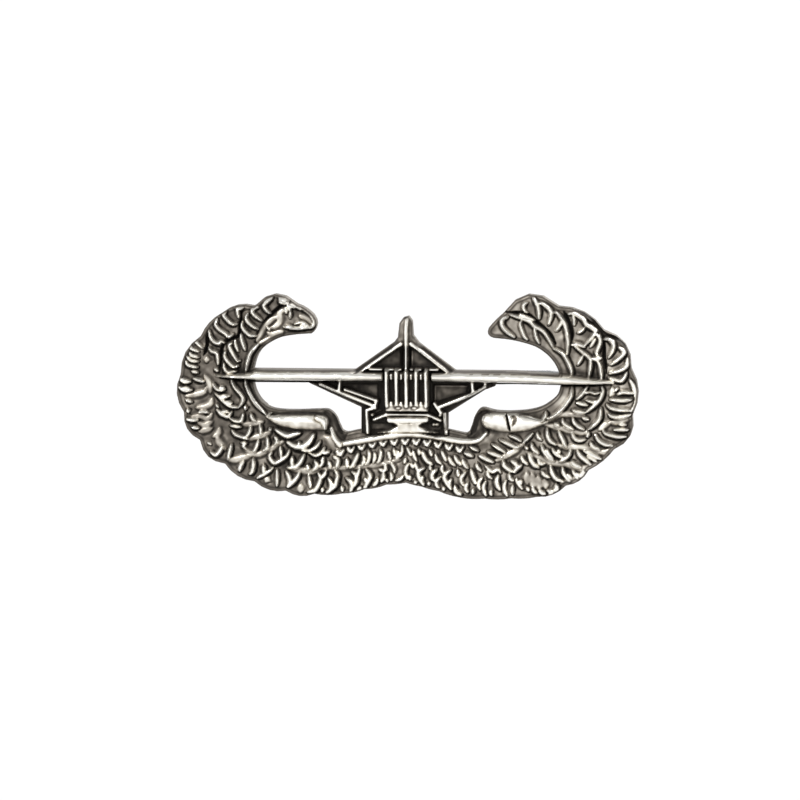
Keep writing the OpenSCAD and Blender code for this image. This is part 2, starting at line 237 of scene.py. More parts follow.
class Relief:
    """Heights and wear on the grid, built up from ground, ridges and grooves.

    Wear runs from 0, where the metal is black with age, to 1, where it is rubbed bright; it also holds
    painted highlights and painted shade.
    """

    def __init__(self, height, wear_and_light):
        shape = grid.X.shape
        self.ground, self.wear_and_light = np.full(shape, float(height)), wear_and_light
        self.ridges, self.light = np.zeros(shape), np.zeros(shape)
        self.grooves, self.dark = np.zeros(shape), np.zeros(shape)
        self.rubbed_and_lit_shoulder = np.zeros(shape)
        self.bordered = np.ones(shape)

    def settle(self, part, share, height, wear_and_light):
        """Sets ground and wear over a window, and clears what was drawn there before."""
        drawn = (self.ridges, self.light, self.grooves, self.dark, self.rubbed_and_lit_shoulder)
        for layer, value in [(self.ground, height), (self.wear_and_light, wear_and_light)] + [(d, 0) for d in drawn]:
            layer[part] = layer[part] * (1 - share) + value * share

    def fill(self, points, height, wear_and_light, soft=0.05, rim=0.0, bordered=1.0):
        """Sets the ground inside an outline, with a black line of strength rim inside it.

        Where bordered is 0, the casting's own edge gets no black line.
        """
        p = np.array(points, float)
        part = grid.window(p, 0.2)
        px, pz = grid.X[part], grid.Z[part]
        best = np.full(px.shape, FAR)
        crossed = np.zeros(px.shape, bool)
        for a, b in zip(p, np.roll(p, -1, axis=0)):
            best = np.minimum(best, segment_distance(px, pz, a, b)[0])
            spans = (a[1] <= pz) != (b[1] <= pz)
            slope = (b[0] - a[0]) / (b[1] - a[1]) if b[1] != a[1] else 0
            crossed ^= spans & (px < a[0] + (pz - a[1]) * slope)
        share = smoothstep(np.where(crossed, best, -best) / soft + 0.5)
        self.settle(part, share, height, wear_and_light)
        self.bordered[part] = self.bordered[part] * (1 - share) + bordered * share
        deepen(self.dark, part, rim * np.exp(-(best / RIM_LINE) ** 2))

    def ridge(self, points, half, rise, light=1.0, groove=0.1, dark=0.8, taper=0.3):
        """A rounded ridge along a smooth line, with a black groove on each side, painted shade on its
        side away from the light and a painted highlight beside it on its lit side.
        """
        line = curve(points)
        part, d, share, _, lit = grid.line_distance(line, half * SHOULDER_SPREAD + 2 * STEP)
        ends = np.clip(np.minimum(share, 1 - share) / max(taper, 1e-6), 0, 1)
        width = half * (0.5 + 0.5 * np.sqrt(ends))
        body = np.clip(1 - (d / width) ** 2, 0, 1)
        deepen(self.ridges, part, rise * body)
        light *= chance.uniform(0.85, 1.05) * (0.75 + 0.25 * ends)
        deepen(self.light, part, np.minimum(1.15 * light * body ** 0.42, 1))
        ring = 1 - np.abs(d / width - GROOVE_MIDDLE) / (GROOVE_SPREAD - GROOVE_MIDDLE)
        # painted shade: the groove is blacker, and deeper, on the side away from the light
        ring = smoothstep(ring) * (0.6 - 0.4 * lit)
        deepen(self.grooves, part, groove * ring)
        deepen(self.dark, part, dark * ring)
        # the rubbed strip beside the ridge, painted brighter on its lit side as a highlight
        near = np.exp(-(d / (0.6 * SHOULDER_SPREAD * width)) ** 2)
        deepen(self.rubbed_and_lit_shoulder, part, near * (0.5 + 0.5 * lit) * light)

    def cut(self, points, half, depth, dark=1.0):
        """A black groove along a smooth line."""
        line = curve(points)
        part, d, share, _, _ = grid.line_distance(line, half + 2 * STEP)
        ends = np.clip(np.minimum(share, 1 - share) / 0.15, 0.3, 1)
        body = smoothstep(1.3 * (1 - d / (half * ends)))
        deepen(self.grooves, part, depth * body)
        deepen(self.dark, part, dark * body)

    def bar(self, points, half, top, light=1.0, dark=0.9):
        """A flat-topped bar up to the height top, with a black line on each side."""
        line = np.array(points, float)
        part, d, _, _, _ = grid.line_distance(line, half + 0.16)
        share = smoothstep((half - d) / 0.05 + 0.5)
        edges = dark * np.exp(-((d - half - 0.05) / 0.05) ** 2)
        self.dark[part] = np.maximum(self.dark[part], edges) * (1 - share)
        sloped = smoothstep((half - d) / 0.12 + 0.75)
        base = self.ground[part] + self.ridges[part]
        lifted = np.maximum(base, base * (1 - sloped) + top * sloped)
        self.ridges[part] = lifted - self.ground[part]
        deepen(self.light, part, light * share)
        self.grooves[part] *= 1 - share

    def roll(self, points, halves, low, top, wear_and_light_across):
        """A rounded roll along a smooth line.

        Its half width runs through the values of halves from end to end, and its tone, wear with painted
        light and shade, through wear_and_light_across from its right-hand edge to its left-hand one,
        looking along the line.
        """
        line = curve(points)
        part, d, share, side, _ = grid.line_distance(line, max(halves) + 2 * STEP)
        half = np.interp(share, np.linspace(0, 1, len(halves)), halves)
        across = np.clip(d / half, 0, 1)
        body = low + (top - low) * np.sqrt(1 - across ** 2)
        wear_and_light = np.interp(across * side, np.linspace(-1, 1, len(wear_and_light_across)), wear_and_light_across)
        here = smoothstep((half - d) / 0.06 + 0.5)
        self.settle(part, here, body, wear_and_light)

    def top(self):
        """Heights of the carved front."""
        covered = 1 - smoothstep(self.ridges / 0.06)
        return self.ground + self.ridges - self.grooves * covered

    def polish(self):
        """Wear of the carved front, with its painted highlights and painted shade."""
        ground = (self.wear_and_light + SHOULDER_WEAR_AND_HIGHLIGHT * self.rubbed_and_lit_shoulder) * (1 - DARKEST * self.dark)
        return self.light + (1 - self.light) * ground


chance = np.random.default_rng(7)
GROUND = 0.84           # height of the feathers' ground
GROUND_WEAR = np.interp(grid.X, [-10, -4.5, -2.5, 9], [0.38, 0.43, 0.52, 0.55])
relief = Relief(GROUND, GROUND_WEAR)

# Places are given as the camera sees them: five degrees to the right of square on and five
# degrees above. What stands higher is seen further to the left and further down.
LEAN = math.tan(math.radians(5))
LOWER_ROWS = -3.2       # ridges that start below this height are this much broader
LOWER_WIDTH = 1.14


def seen(points, height=1.05):
    """True places of points that the camera sees there, at a height above the back plane."""
    return np.array(points, float) + LEAN * height


def draw_ridge(points, half, rise, **more):
    """A ridge through points that the camera sees."""
    width = half * (LOWER_WIDTH if points[0][1] < LOWER_ROWS else 1)
    relief.ridge(seen(points), width, rise, **more)


def on_wing(points, side):
    """Points of a wing in millimetres, on the right where side is 1 and on the left where -1."""
    return np.array(points) * (side, 1) / 100


def draw(lines, side, half, rise, **more):
    """Draws a group of ridges on a wing."""
    for line in lines:
        draw_ridge(on_wing(line, side), half, rise, **more)


def spread(points, count):
    """Evenly spread places along a smooth line."""
    line = curve(points)
    lengths = run(line)
    along = np.linspace(0, lengths[-1], count)
    return np.stack([np.interp(along, lengths, values) for values in line.T], 1)


# The feathers, as ridges through a few points each. A point is its distance from the badge's
# centre line and its height, in hundredths of a millimetre. Bold ridges are the worn rims and
# ribs, plain ones the finer ribs between them, and pale ones the low edges of the feather rows.
RIGHT_BOLD = [
    # upper end: inner and middle feather
    [(457, 283), (437, 274), (428, 258), (434, 237), (455, 214), (487, 191)],
    [(466, 294), (546, 268), (578, 242), (605, 228), (628, 207), (663, 148)],
    [(665, 141), (688, 130), (715, 107), (745, 43), (749, 0)], [(571, 372), (594, 331), (599, 276)],
    [(600, 347), (620, 340), (653, 305), (642, 250)],
    [(665, 305), (683, 299), (715, 253), (729, 184), (728, 116)],
    # outer feathers down to the bar
    [(733, 299), (756, 300), (784, 285), (802, 271), (816, 248), (838, 235), (854, 214), (806, 155)],
    [(859, 207), (875, 189), (877, 166), (861, 121), (882, 98)], [(840, 96), (880, 96)],
    [(747, 157), (774, 162), (806, 148)], [(761, 152), (825, 102), (834, 75), (825, 2)],
    [(847, 93), (866, 84), (877, 57), (884, -7)],
    [(895, 184), (916, 184), (934, 166), (937, 143), (916, 102)],
    [(962, 148), (978, 134), (982, 116), (939, 79), (921, 70)],
    [(1000, 98), (998, 70), (980, 48), (918, 29)], [(998, 34), (984, 6), (966, -4), (916, 9)],
    # below the bar: spine, then the feathers from it outwards
    [(750, -33), (743, -79), (706, -132), (665, -167), (638, -178)],
    [(630, -148), (630, -163), (611, -193)], [(819, -30), (790, -71), (770, -89)],
    [(885, -30), (889, -56), (870, -98), (813, -150)], [(771, -106), (820, -117)],
    [(752, -138), (771, -146), (809, -151)], [(881, -129), (874, -178), (840, -216), (824, -227)],
    [(798, -174), (824, -182)], [(752, -174), (758, -193), (775, -212), (805, -227)],
    [(706, -182), (710, -197), (733, -216), (756, -227)], [(672, -201), (690, -212)],
    [(1011, 0), (1026, -26), (1043, -79), (1041, -106), (1030, -129), (1016, -144)],
    [(957, -66), (984, -56), (1026, -62)], [(923, -90), (976, -94), (1018, -90)],
    [(908, -113), (923, -127), (957, -136), (1018, -140)],
    [(916, -155), (931, -167), (961, -170), (1014, -159)], [(942, -227), (1005, -227)],
    [(891, -231), (904, -246), (931, -254), (961, -260), (995, -258)],
    # first row below the arm
    [(635, -224), (639, -258), (652, -283), (677, -299)], [(689, -237), (722, -307)],
    [(749, -245), (760, -266), (780, -278), (810, -274)], [(824, -239), (820, -262)],
    [(855, -249), (872, -278), (901, -295), (934, -299)], [(834, -287), (847, -307), (876, -318)],
    # second row
    [(565, -293), (571, -316), (598, -339)], [(610, -301), (623, -332), (644, -357), (668, -372)],
    [(660, -316), (677, -341), (702, -353), (718, -355)],
    [(743, -320), (735, -345), (718, -361), (693, -374)], [(774, -326), (789, -349), (834, -386)],
    [(805, -324), (880, -361)],
    # third row and the lower tip
    [(552, -341), (573, -386), (598, -403)], [(436, -374), (444, -399), (478, -424)],
    [(473, -374), (490, -385), (500, -400)], [(519, -393), (498, -408), (486, -426)],
    [(747, -374), (764, -390), (789, -399)], [(652, -395), (660, -428), (677, -453), (710, -465)],
    [(706, -403), (714, -432), (739, -465)], [(797, -415), (797, -436), (785, -440)],
    [(602, -502), (610, -515), (627, -523)], [(677, -478), (679, -494), (671, -511)],
    [(639, -507), (656, -515), (648, -527)], [(413, -442), (405, -465), (409, -486), (421, -507)],
    # small feathers under the arch
    [(68, -334), (75, -359), (91, -379), (111, -393)], [(75, -409), (52, -423), (50, -446), (73, -487)],
    [(132, -416), (114, -432), (111, -453), (123, -468)],
    [(194, -418), (171, -437), (169, -459), (198, -505)], [(289, -416), (308, -478)],
    [(216, -491), (221, -514), (244, -530)],
]
RIGHT_PLAIN = [
    [(8, -444), (10, -464)], [(34, -468), (36, -480)], [(16, -390), (24, -410)],
    [(510, 297), (578, 269)], [(519, 269), (513, 248), (521, 221), (532, 194), (546, 179)],
    [(578, 237), (585, 194), (600, 163)], [(546, 349), (532, 342), (527, 326), (535, 310), (546, 303)],
    [(699, 267), (695, 248), (674, 219)], [(752, 292), (758, 271), (758, 248)],
    [(806, 239), (793, 223), (774, 212)], [(857, 189), (831, 148)], [(800, 111), (774, 66)],
    [(957, -37), (942, -52)], [(809, -62), (832, -56), (855, -62), (878, -56)],
    [(813, -94), (843, -102), (874, -94)], [(965, -205), (997, -205)], [(571, -246), (528, -290)],
    [(592, -241), (594, -262), (610, -278)], [(635, -320), (644, -341), (664, -361)],
    [(685, -322), (695, -335)], [(536, -307), (548, -320)], [(818, -349), (863, -374)],
    [(519, -351), (527, -372), (548, -390)], [(594, -368), (606, -386), (627, -384)],
    [(612, -420), (623, -436), (648, -449)], [(731, -432), (747, -453)], [(751, -415), (776, -453)],
    [(772, -428), (788, -445)], [(569, -494), (577, -511), (590, -521)], [(544, -494), (552, -511)],
    [(355, -397), (386, -424), (411, -413), (424, -428)], [(361, -424), (370, -444), (384, -455)],
    [(341, -451), (328, -465), (322, -486), (330, -507)],
    [(357, -469), (347, -490), (349, -515), (359, -534)],
    [(449, -465), (440, -486), (442, -511), (455, -534)], [(384, -507), (378, -519), (384, -532)],
    [(480, -486), (476, -511), (480, -527)], [(463, -432), (467, -453), (482, -465)],
    [(498, -453), (500, -469), (523, -502)], [(513, -461), (520, -478)],
    # small feathers under the arch
    [(-3, -316), (13, -354)], [(25, -332), (29, -354), (41, -377)], [(50, -322), (52, -350)],
    [(100, -325), (109, -354)], [(127, -347), (134, -373), (153, -391)], [(155, -332), (175, -377)],
    [(187, -357), (198, -382), (216, -398)], [(214, -352), (226, -377), (242, -395)],
    [(251, -368), (258, -391), (274, -409)], [(315, -386), (319, -405), (335, -421)],
    [(4, -389), (-7, -409), (-10, -432), (-3, -459)], [(34, -386), (45, -423)],
    [(100, -400), (105, -418)], [(159, -398), (155, -414), (162, -432)], [(228, -416), (230, -446)],
    [(264, -427), (246, -450), (244, -468), (253, -487)], [(68, -448), (63, -468)],
    [(95, -473), (98, -487)], [(148, -450), (132, -468), (132, -487), (143, -500)],
    [(162, -496), (166, -510)], [(198, -459), (191, -478), (196, -505)],
    [(274, -475), (264, -500), (274, -519)], [(299, -505), (296, -526)],
]
RIGHT_PALE = [
    [(931, -37), (931, -60), (923, -71)],
    [(620, -203), (640, -185), (699, -159), (786, -163), (805, -155)],
    [(623, -205), (786, -243), (817, -235)], [(923, -193), (950, -193), (1010, -175)],
    [(874, -227), (900, -205), (919, -200)],
    [(685, -299), (718, -310), (760, -307), (801, -310), (872, -330), (913, -324), (942, -303)],
    [(552, -337), (652, -378), (718, -386), (776, -403), (810, -405), (880, -378), (905, -341)],
    [(530, -295), (502, -312), (482, -332), (403, -372)],
    [(700, -475), (770, -455), (800, -442), (820, -425)], [(542, -430), (545, -475)],
    [(568, -435), (572, -495)], [(595, -445), (600, -505)], [(625, -460), (630, -495)],
]
LEFT_BOLD = [
    # upper end: tip, inner feather and spine
    [(589, 363), (564, 365), (521, 344), (505, 326), (477, 315), (450, 294), (431, 271), (429, 248),
     (443, 230), (468, 230)],
    [(587, 360), (578, 342), (546, 340)], [(550, 333), (514, 320)], [(550, 333), (537, 305)],
    [(568, 232), (514, 226), (441, 232)], [(683, 153), (719, 111), (735, 61), (740, 25)],
    [(743, -11), (738, -45), (700, -117), (650, -168)],
    # middle row
    [(619, 363), (642, 347), (658, 326), (644, 303), (628, 292)],
    [(683, 321), (701, 315), (712, 301), (701, 283), (667, 258)],
    [(731, 292), (740, 271), (728, 248), (705, 230), (685, 221)],
    [(756, 255), (758, 230), (740, 205), (719, 191), (692, 191)], [(763, 198), (760, 171), (744, 124)],
    [(806, 155), (817, 139), (783, 79), (767, 75)],
    [(836, 116), (838, 93), (820, 66), (797, 47), (774, 52)],
    [(842, 61), (838, 38), (824, 22), (783, 27)],
    # outer row
    [(831, 303), (842, 283), (824, 258), (801, 242), (781, 244)],
    [(872, 264), (879, 239), (861, 216), (833, 198), (820, 184), (799, 196)],
    [(909, 212), (904, 184), (888, 162), (865, 153), (856, 162), (838, 157)],
    [(911, 134), (897, 116), (874, 107), (868, 57)], [(884, 38), (867, 28)],
    [(998, 111), (989, 98), (957, 89)], [(1011, 93), (993, 75), (960, 70)],
    [(1016, 72), (1004, 53), (962, 43)], [(989, 25), (961, 20)],
    # below the bar
    [(808, -11), (795, -41), (757, -90), (757, -113), (772, -136)],
    [(890, -30), (878, -52), (859, -60), (837, -56)], [(860, -46), (842, -47)],
    [(882, -75), (821, -129), (776, -140)], [(837, -113), (806, -119)],
    [(875, -149), (829, -182), (806, -159)], [(850, -155), (820, -160)],
    [(814, -189), (791, -200), (764, -200), (753, -167)], [(743, -132), (743, -148)],
    [(719, -167), (711, -189), (696, -200)], [(812, -222), (764, -229)], [(1042, -11), (996, -22)],
    [(979, -9), (935, -22)], [(1046, -49), (1019, -62), (989, -60)], [(1015, -106), (989, -115)],
    [(1008, -148), (1004, -163)], [(958, -163), (939, -159), (913, -163)],
    [(1011, -193), (989, -199), (962, -197)], [(988, -231), (958, -235)],
    # first row below the arm
    [(805, -244), (786, -265), (732, -283)], [(720, -225), (724, -248), (737, -269), (749, -275)],
    [(676, -217), (672, -263)], [(633, -232), (627, -242)], [(498, -295), (496, -312)],
    [(400, -292), (417, -314), (446, -333), (483, -335)],
    [(380, -319), (396, -344), (421, -356), (450, -346)], [(385, -347), (360, -338)],
    # second row
    [(763, -300), (745, -302), (753, -315), (741, -327)], [(683, -288), (699, -331), (712, -341)],
    [(643, -275), (643, -319), (662, -337)], [(608, -271), (598, -290), (608, -306)],
    [(807, -308), (824, -374)], [(902, -344), (882, -356), (865, -344), (849, -315)],
    # third row
    [(751, -385), (766, -406), (770, -429)], [(707, -375), (707, -406), (714, -435), (724, -443)],
    [(660, -402), (660, -439)],
    [(624, -344), (633, -360), (624, -381), (604, -391), (558, -362), (541, -333)],
    [(583, -319), (579, -368)], [(529, -364), (531, -389), (525, -406)],
    [(550, -412), (521, -410), (496, -393), (473, -352)], [(458, -400), (458, -422)],
    [(425, -381), (417, -402), (433, -424)],
    # fourth row
    [(556, -429), (544, -456), (541, -481), (550, -501)], [(496, -433), (510, -460), (546, -501)],
    [(409, -435), (400, -460), (409, -489), (425, -514), (458, -524)],
    # small feathers under the arch
    [(226, -345), (249, -395), (263, -411)], [(279, -370), (277, -411)], [(316, -368), (325, -411)],
    [(112, -432), (112, -455), (121, -473)], [(190, -418), (176, -437), (174, -455), (199, -505)],
    [(254, -430), (236, -446), (236, -473), (247, -496)],
    [(334, -423), (322, -441), (325, -468), (334, -496), (354, -514)],
    [(363, -459), (352, -482), (354, -510), (373, -526)],
    [(281, -459), (263, -473), (256, -496), (263, -519)],
]
LEFT_PLAIN = [
    [(537, 303), (539, 271)], [(518, 244), (486, 253), (454, 238)], [(642, 230), (632, 216)],
    [(790, 171), (788, 148), (776, 116)], [(783, 315), (774, 271)], [(982, 168), (938, 130)],
    [(995, 153), (993, 130), (957, 114)], [(852, -83), (814, -87)], [(878, -125), (867, -140)],
    [(915, -300), (902, -310)], [(618, -412), (637, -431), (691, -462)], [(598, -422), (600, -497)],
    [(386, -373), (392, -393), (405, -408)], [(454, -443), (446, -505)], [(373, -427), (392, -456)],
    [(390, -505), (392, -522)],
    # small feathers under the arch
    [(26, -309), (26, -336), (35, -359)], [(44, -345), (53, -363)], [(64, -320), (60, -354)],
    [(89, -336), (80, -373)], [(126, -325), (124, -350), (131, -377), (140, -386)],
    [(153, -341), (151, -363), (158, -386)], [(181, -329), (176, -354), (181, -382), (192, -395)],
    [(204, -357), (201, -377), (210, -400)], [(341, -359), (318, -373)], [(363, -382), (354, -414)],
    [(386, -363), (395, -386)], [(78, -386), (64, -409), (60, -432)],
    [(105, -391), (101, -414), (108, -427)], [(131, -416), (112, -427)],
    [(80, -432), (74, -450), (78, -468)], [(220, -414), (233, -455)],
    [(373, -423), (382, -446), (400, -464)], [(197, -459), (190, -478)], [(302, -496), (300, -519)],
    [(217, -498), (229, -514)], [(137, -459), (144, -478), (158, -491)],
    [(50, -331), (41, -352), (54, -370)], [(22, -446), (33, -459), (54, -468)], [(98, -462), (94, -474)],
    [(10, -366), (17, -388)],
]
LEFT_PALE = [
    [(564, 312), (587, 294), (587, 258), (605, 235), (628, 226)],
    [(600, 276), (623, 267), (642, 248), (660, 226), (692, 166)], [(573, 212), (619, 198), (642, 205)],
    [(573, 203), (683, 153)], [(788, 317), (751, 326), (724, 318)], [(920, 89), (922, 70)],
    [(1015, -87), (966, -79), (935, -68), (924, -50)],
    [(966, -142), (935, -138), (909, -125), (897, -100)],
    [(990, -182), (950, -180), (920, -190), (900, -170)], [(930, 5), (910, -30), (905, -70)],
    [(960, -210), (930, -220), (900, -205)], [(495, 282), (460, 270), (441, 250)],
    [(840, -330), (860, -305), (875, -275)], [(954, -250), (900, -235)],
    [(863, -235), (873, -261), (890, -273)], [(764, -208), (738, -216), (665, -203)],
    [(732, -285), (649, -259), (629, -242)],
    [(753, -319), (732, -339), (707, -352), (678, -350), (624, -325), (600, -306), (571, -292)],
    [(824, -377), (790, -377), (720, -358)], [(550, -414), (458, -428), (425, -426), (400, -410)],
    [(641, -460), (649, -476)], [(492, -493), (492, -522)],
]
# Broad ridges, and the crescents between the left arm and the first row
# The broadest rubbed places
LEFT_BROAD = [
    [(560, 320), (555, 295)], [(560, 233), (530, 233)], [(490, 238), (462, 240)],
    [(1030, -50), (1000, -54)], [(585, 362), (545, 350)], [(550, 331), (518, 331), (491, 312)],
    [(1046, -13), (1020, -24), (996, -22)], [(981, -9), (935, -20)],
    [(1048, -49), (1023, -62), (989, -60)], [(1012, -197), (962, -197)],
    [(873, -87), (844, -92), (820, -88)], [(873, -151), (852, -172), (830, -180)],
    [(783, 312), (755, 317)],
]
LEFT_CRESCENTS = [
    [(602, -240), (575, -257), (546, -266), (496, -253)],
    [(550, -296), (529, -310), (504, -318), (479, -316), (454, -296), (431, -260)],
]
RIGHT_BROAD = [
    [(420, -278), (486, -308), (511, -307)], [(366, -334), (428, -355)], [(328, -353), (390, -380)],
    [(386, -299), (444, -334)], [(465, -258), (494, -268), (517, -283)], [(285, -309), (321, -329)],
    [(260, -338), (296, -354)], [(331, -350), (358, -366)],
]
# The faint edge between the two rows below the arch
LEFT_SEAM = [
    [(400, -418), (162, -400), (36, -372)],
]

# Black gaps between the rows of feathers
RIGHT_GAPS = [
    [(450, 305), (500, 302), (545, 295), (590, 260), (650, 202), (675, 160)],
    [(710, 310), (730, 270), (747, 225), (750, 180)],
    [(820, 270), (860, 240), (887, 210), (892, 160), (895, 100), (903, 60), (905, 30)],
    [(760, 320), (820, 292), (868, 240), (900, 205), (940, 192), (980, 168), (1008, 120)],
]
LEFT_GAPS = [
    [(550, 346), (578, 328), (600, 310), (628, 285), (655, 248), (678, 212), (700, 160)],
    [(760, 300), (766, 250), (775, 190), (810, 175), (845, 150), (855, 110), (862, 30)],
    [(918, 200), (920, 140), (935, 100)],
]


def draw_feathers():
    """The feathers of both wings, the faint lines first and the broad rubbed ones last."""
    draw(LEFT_SEAM, -1, 0.12, 0.08, light=0.1, groove=0.05, dark=0.2)
    for side, broader, bold, plain, pale, gaps in (
            (1, 1.18, RIGHT_BOLD, RIGHT_PLAIN, RIGHT_PALE, RIGHT_GAPS),
            (-1, 1.12, LEFT_BOLD, LEFT_PLAIN, LEFT_PALE, LEFT_GAPS)):
        draw(pale, side, 0.16, 0.1, light=0.3, groove=0.06, dark=0.4)
        draw(plain, side, 0.08 * broader, 0.19, light=0.9)
        draw(bold, side, 0.095 * broader, 0.26, groove=0.14, dark=1.0)
        for line in gaps:
            relief.cut(seen(on_wing(line, side)), 0.1, 0.3)
    draw(LEFT_BROAD, -1, 0.12, 0.24, groove=0.16, taper=0.5)
    draw(LEFT_CRESCENTS, -1, 0.18, 0.24, groove=0.16, taper=0.6)
    draw(RIGHT_BROAD, 1, 0.115, 0.24, groove=0.16, taper=0.5)


def draw_teeth():
    """A row of small V shapes below the arch: a broad left stroke and a narrow right one."""
    row = [(-3.11, -3.44), (-2.07, -3.15), (-1.08, -2.98), (0, -2.91), (1, -2.99), (2.36, -3.24)]
    for x, z in spread(row, 12):
        draw_ridge([(x - 0.12, z + 0.14), (x - 0.01, z - 0.09)], 0.125, 0.26, taper=0.1)
        draw_ridge([(x + 0.18, z + 0.17), (x + 0.02, z - 0.13)], 0.085, 0.24, taper=0.1)


def draw_arms():
    """The smooth rounded arms above the lower feathers, and the arch between them."""
    neck, neck_painted_shade, arch_top, arm_low, arm_top = 0.7, 0.38, 1.15, 1.0, 1.3
    bend = [(305, -145), (380, -140), (375, -250), (330, -260), (290, -290), (270, -240)]
    rim = [(295, -250), (310, -215), (320, -180), (342, -148)]
    # the sunk neck of each arm is painted darker as shade on its wall, and the black groove along its
    # edge by the opening is painted shadow
    for side in (1, -1):
        relief.fill(seen(on_wing(bend, side), neck), neck, neck_painted_shade, soft=0.12)
        relief.cut(seen(on_wing(rim, side), neck / 2), 0.17, 0.1)
    # The arch rises to the middle, where the nose of the glider runs into it
    for corner in ([(-3.85, -2.72), (-3.5, -2.62), (-3.0, -3.0), (-3.05, -3.28), (-3.4, -3.3)],
                   [(3.0, -2.85), (3.35, -2.5), (3.95, -2.5), (3.85, -2.8), (3.3, -3.02)]):
        relief.fill(seen(corner), 0.95, 0.6, soft=0.25)
    # the arch's tones: wear with a painted highlight along its upper side and painted shade along its
    # lower edge
    arch = [(-3.2, -3.06), (-2.1, -2.87), (-1.05, -2.66), (0, -2.53), (1.05, -2.61), (2.1, -2.81),
            (2.75, -2.87), (3.25, -2.8), (3.6, -2.48)]
    relief.roll(seen(arch), [0.12, 0.17, 0.17, 0.2, 0.19, 0.17, 0.16, 0.15, 0.1],
                GROUND, arch_top, [0.1, 0.4, 0.55, 0.8, 1, 1, 1, 0.3])
    relief.roll(seen([(-3.1, -3.06), (-3.35, -2.75), (-3.52, -2.3)]), [0.15, 0.13, 0.07],
                GROUND, arch_top, [0.3, 0.7, 1, 1, 0.2])
    # Each arm is a half-round tube that ends in a point outside and curls down inside
    # the arms' tones: wear with a painted highlight along each tube's upper side and painted shade below
    # it
    wear_and_light_across = [0.12, 0.4, 0.52, 0.6, 0.66, 0.95, 1, 1, 0.55, 0.1]
    left = [(-6.45, -1.78), (-6.0, -1.93), (-5.2, -2.0), (-4.5, -2.02), (-3.98, -2.06)]
    relief.roll(seen(left, 1.2), [0.08, 0.3, 0.38, 0.42, 0.38], GROUND, arm_top + 0.02, wear_and_light_across)
    relief.roll(seen([(-4.15, -1.85), (-3.86, -1.98), (-3.78, -2.32)], 1.25), [0.15, 0.19, 0.08],
                arm_low, arm_top + 0.06, [0.6, 1, 1, 1, 0.3])
    right = [(3.72, -1.93), (4.4, -1.97), (5.0, -2.0), (5.6, -2.0), (6.35, -1.95)]
    relief.roll(seen(right, 1.2), [0.38, 0.48, 0.49, 0.46, 0.42, 0.34, 0.2, 0.06],
                GROUND, arm_top, [0.3, 0.5, 0.6, 0.68, 0.95, 1, 1, 1, 0.95, 0.5])
    relief.cut(seen([(4.48, -1.56), (4.55, -1.85), (4.63, -2.2), (4.68, -2.38)], 1.2), 0.07, 0.3)
    relief.cut(seen([(4.76, -1.68), (4.9, -1.82), (4.8, -2.1)], 1.2), 0.12, 0.2, 0.6)
    draw_ridge([(6.32, -1.46), (6.27, -1.72), (6.1, -1.9)], 0.085, 0.3)
    draw_ridge([(-6.42, -1.72), (-6.22, -1.62)], 0.06, 0.3)


# Heights of the glider's sunk panels, its struts, its fuselage and the crest of its wing bar
PANEL, STRUT, FUSELAGE, CREST = 0.7, 1.12, 1.5, 1.7
HOOD_WEAR = 0.33        # wear of the paler fields in the panels
PANEL_WEAR = 0.35 * HOOD_WEAR


def draw_panels():
    """The sunk panels under the roof and the wing bar, each with a paler inner field."""
    lower = [(-4.7, -0.05), (-2, -1.25), (-2, -2.42), (-1.4, -2.55), (-0.6, -2.4), (0.6, -2.4),
             (1.4, -2.55), (1.98, -2.5), (1.98, -1.5), (4.25, -0.05)]
    roof = [(-2.6, 0.3), (-0.48, 1.85), (0.55, 1.85), (2.5, 0.3)]
    for points in (lower, roof):
        relief.fill(points, PANEL, PANEL_WEAR)
    hoods = [
        [(-1.7, 0.52), (-0.34, 1.38), (-0.31, 0.52)],
        [(0.17, 1.4), (0.14, 0.5), (1.5, 0.5)],
        [(-2.88, -0.25), (-1.36, -0.25), (-1.36, -0.98)],
        [(1.22, -0.27), (2.78, -0.27), (2.68, -0.62), (1.25, -1.08)],
        [(-1.75, -1.42), (-1.45, -1.3), (-1.1, -1.45), (-1.7, -1.7)],
        [(-1.7, -2.05), (-0.75, -2.05), (-0.55, -2.3), (-1.65, -2.32)],
        [(0.7, -2.1), (1.55, -1.98), (1.55, -2.35), (0.65, -2.28)],
    ]
    for points in hoods:
        relief.fill(seen(points, PANEL), PANEL + 0.06, HOOD_WEAR, soft=0.06)
    for line in ([(1.27, -1.0), (1.27, -0.32), (2.74, -0.32)], [(0.22, 0.6), (0.22, 1.25)]):
        relief.bar(seen(line, PANEL), 0.02, PANEL + 0.1, light=0.5, dark=0.2)
    # A plain flank on the right of the roof
    flank = [(0.35, 1.95), (2.6, 0.45), (2.1, 0.25), (0.2, 1.6)]
    relief.fill(seen(flank, PANEL), PANEL, 0.55, bordered=0)


